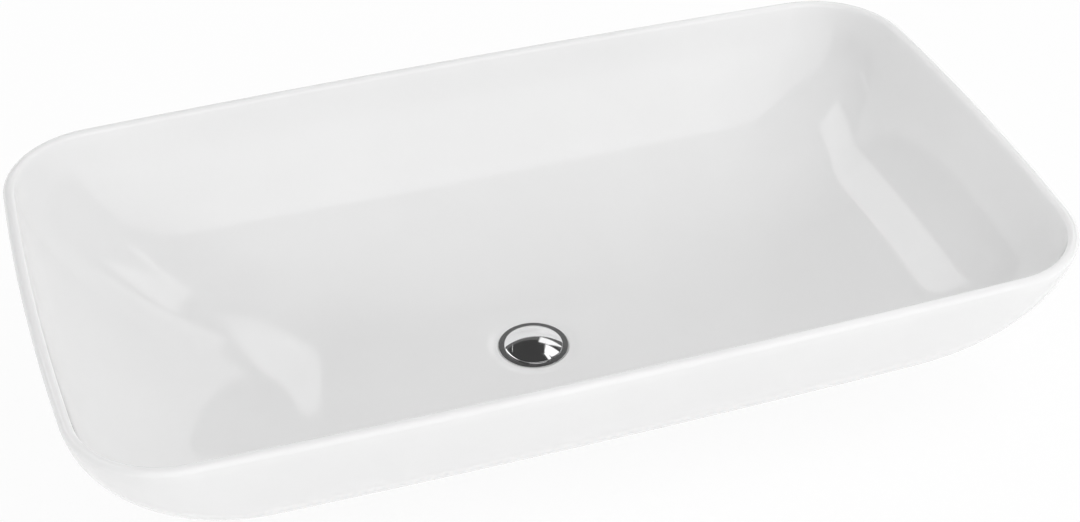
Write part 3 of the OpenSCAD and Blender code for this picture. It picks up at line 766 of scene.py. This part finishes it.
def buildWorld():
    # soft ambient light, and plain white wherever the world itself is seen
    world = bpy.data.worlds.new("studioWorld")
    bpy.context.scene.world = world
    tree = emptyTree(world)
    output = tree.nodes.new("ShaderNodeOutputWorld")
    rays = tree.nodes.new("ShaderNodeLightPath").outputs
    seen = addMath(tree, "MAXIMUM", rays["Is Camera Ray"], rays["Is Glossy Ray"])
    seen = addMath(tree, "MAXIMUM", seen, rays["Is Transmission Ray"])
    soft = tree.nodes.new("ShaderNodeBackground")
    soft.inputs["Strength"].default_value = studio["ambient"]
    white = tree.nodes.new("ShaderNodeBackground")
    white.inputs["Strength"].default_value = studio["background"]
    paint = addMix(tree, seen, soft.outputs[0], white.outputs[0])
    tree.links.new(paint, output.inputs["Surface"])


def makeCounterPaint():
    # white where it is seen, but for a little of the light and shadow that falls on it
    material = bpy.data.materials.new("paleCounter")
    tree = emptyTree(material)
    output = tree.nodes.new("ShaderNodeOutputMaterial")
    rays = tree.nodes.new("ShaderNodeLightPath").outputs
    seen = addMath(tree, "MAXIMUM", rays["Is Camera Ray"], rays["Is Glossy Ray"])
    amount = addMath(tree, "MULTIPLY", seen, 1.0 - studio["counterShade"])
    matt = tree.nodes.new("ShaderNodeBsdfDiffuse")
    matt.inputs["Color"].default_value = studio["counterColour"]
    glow = tree.nodes.new("ShaderNodeEmission")
    above = addMix(tree, amount, matt.outputs[0], glow.outputs[0])
    # clear from below, so that the underside can be looked at
    side = tree.nodes.new("ShaderNodeNewGeometry")
    clear = tree.nodes.new("ShaderNodeBsdfTransparent")
    paint = addMix(tree, side.outputs["Backfacing"], above, clear.outputs[0])
    tree.links.new(paint, output.inputs["Surface"])
    return material


def makeGlow(name, glow, soft=0.0):
    # an even glow, or one that falls off to the ceiling's level at the card's edges
    material = bpy.data.materials.new(name)
    tree = emptyTree(material)
    output = tree.nodes.new("ShaderNodeOutputMaterial")
    light = tree.nodes.new("ShaderNodeEmission")
    light.inputs["Strength"].default_value = glow
    tree.links.new(light.outputs[0], output.inputs["Surface"])
    if soft == 0.0:
        return material
    place = tree.nodes.new("ShaderNodeUVMap")
    place.uv_map = "card"
    split = tree.nodes.new("ShaderNodeSeparateXYZ")
    tree.links.new(place.outputs["UV"], split.inputs[0])
    ramps = []
    for axis in "XY":
        ramp = tree.nodes.new("ShaderNodeMapRange")
        ramp.interpolation_type = "SMOOTHSTEP"
        ramp.inputs["From Max"].default_value = soft
        toEdge = addMath(tree, "PINGPONG", split.outputs[axis], 0.5)
        tree.links.new(toEdge, ramp.inputs["Value"])
        ramps.append(ramp.outputs["Result"])
    level = tree.nodes.new("ShaderNodeMapRange")
    level.inputs["To Min"].default_value = studio["ceilingGlow"]
    level.inputs["To Max"].default_value = glow
    tree.links.new(addMath(tree, "MULTIPLY", *ramps), level.inputs["Value"])
    tree.links.new(level.outputs["Result"], light.inputs["Strength"])
    return material


def addStage(name, bm, *materials):
    mesh = bpy.data.meshes.new(name)
    bm.to_mesh(mesh)
    bm.free()
    for material in materials:
        mesh.materials.append(material)
    holder = bpy.data.objects.new(name, mesh)
    bpy.context.scene.collection.objects.link(holder)
    return holder


def showInGlossAlone(holder):
    holder.visible_camera = False
    holder.visible_diffuse = False
    holder.visible_shadow = False
    holder.visible_transmission = False


def buildCounter():
    # the pale counter, with the cut-out that the waste hangs through
    bm = bmesh.new()
    ring = bmesh.ops.create_circle(bm, segments=96, radius=studio["counterHoleR"])["verts"]
    for reach in (studio["counterInner"], studio["counterReach"]):
        ring = nextRing(bm, ring, [v.co.normalized() * reach for v in ring])
    bmesh.ops.recalc_face_normals(bm, faces=bm.faces)
    if next(iter(bm.faces)).normal.z < 0:
        bmesh.ops.reverse_faces(bm, faces=bm.faces)
    bmesh.ops.translate(bm, vec=(0, 0, studio["counterZ"]), verts=bm.verts)
    addStage("counter", bm, makeCounterPaint())


def buildCanopy():
    # the unlit room round and above the set: a wall, and a darker ceiling
    bm = bmesh.new()
    bmesh.ops.create_uvsphere(bm, u_segments=72, v_segments=36, radius=studio["canopyR"])
    edge = studio["canopyR"] * math.sin(math.radians(studio["canopyEdge"]))
    turn = studio["canopyR"] * math.sin(math.radians(studio["canopyTurn"]))
    low = [face for face in bm.faces if face.calc_center_median().z < edge]
    bmesh.ops.delete(bm, geom=low, context="FACES")
    for face in bm.faces:
        face.material_index = 1 if face.calc_center_median().z > turn else 0
    wall = makeGlow("roomWall", studio["wallGlow"])
    ceiling = makeGlow("roomCeiling", studio["ceilingGlow"])
    showInGlossAlone(addStage("canopy", bm, wall, ceiling))


def buildCard(name, settings):
    bm = bmesh.new()
    bm.loops.layers.uv.new("card")
    bmesh.ops.create_grid(bm, x_segments=12, y_segments=12, size=1.0, calc_uvs=True)
    a, b, c, d = (Vector(corner) for corner in settings["corners"])
    for v in bm.verts:
        s, t = (v.co.x + 1) / 2, (v.co.y + 1) / 2
        v.co = a.lerp(b, s).lerp(d.lerp(c, s), t)
    showInGlossAlone(addStage(name, bm, makeGlow(name, settings["glow"], settings["soft"])))


# where the photo was taken from, with its lens and width in pixels
view = {"azimuth": -18.93, "elevation": 37.15, "distance": 1.4218,
        "target": (-0.0182, -0.0679, 0.148), "focalPixels": 2109.5, "widthPixels": 1080,
        "sensorWidth": 36.0, "clipStart": 0.02}


def addCamera():
    data = bpy.data.cameras.new("photoCamera")
    data.sensor_width = view["sensorWidth"]
    data.sensor_fit = "HORIZONTAL"
    data.lens = view["sensorWidth"] * view["focalPixels"] / view["widthPixels"]
    data.clip_start = view["clipStart"]
    camera = bpy.data.objects.new("photoCamera", data)
    a, e = math.radians(view["azimuth"]), math.radians(view["elevation"])
    back = Vector((math.sin(a) * math.cos(e), -math.cos(a) * math.cos(e), math.sin(e)))
    right = Vector((math.cos(a), math.sin(a), 0.0))
    turn = Matrix((right, back.cross(right), back)).transposed()
    place = Vector(view["target"]) + back * view["distance"]
    camera.matrix_world = Matrix.Translation(place) @ turn.to_4x4()
    bpy.context.scene.collection.objects.link(camera)
    bpy.context.scene.camera = camera


buildWorld()
buildCounter()
buildCanopy()
for name, settings in cards.items():
    buildCard(name, settings)
for name, settings in lamps.items():
    addLamp(name, settings)
addCamera()
bpy.context.scene.view_settings.view_transform = "Standard"
print("studio made")
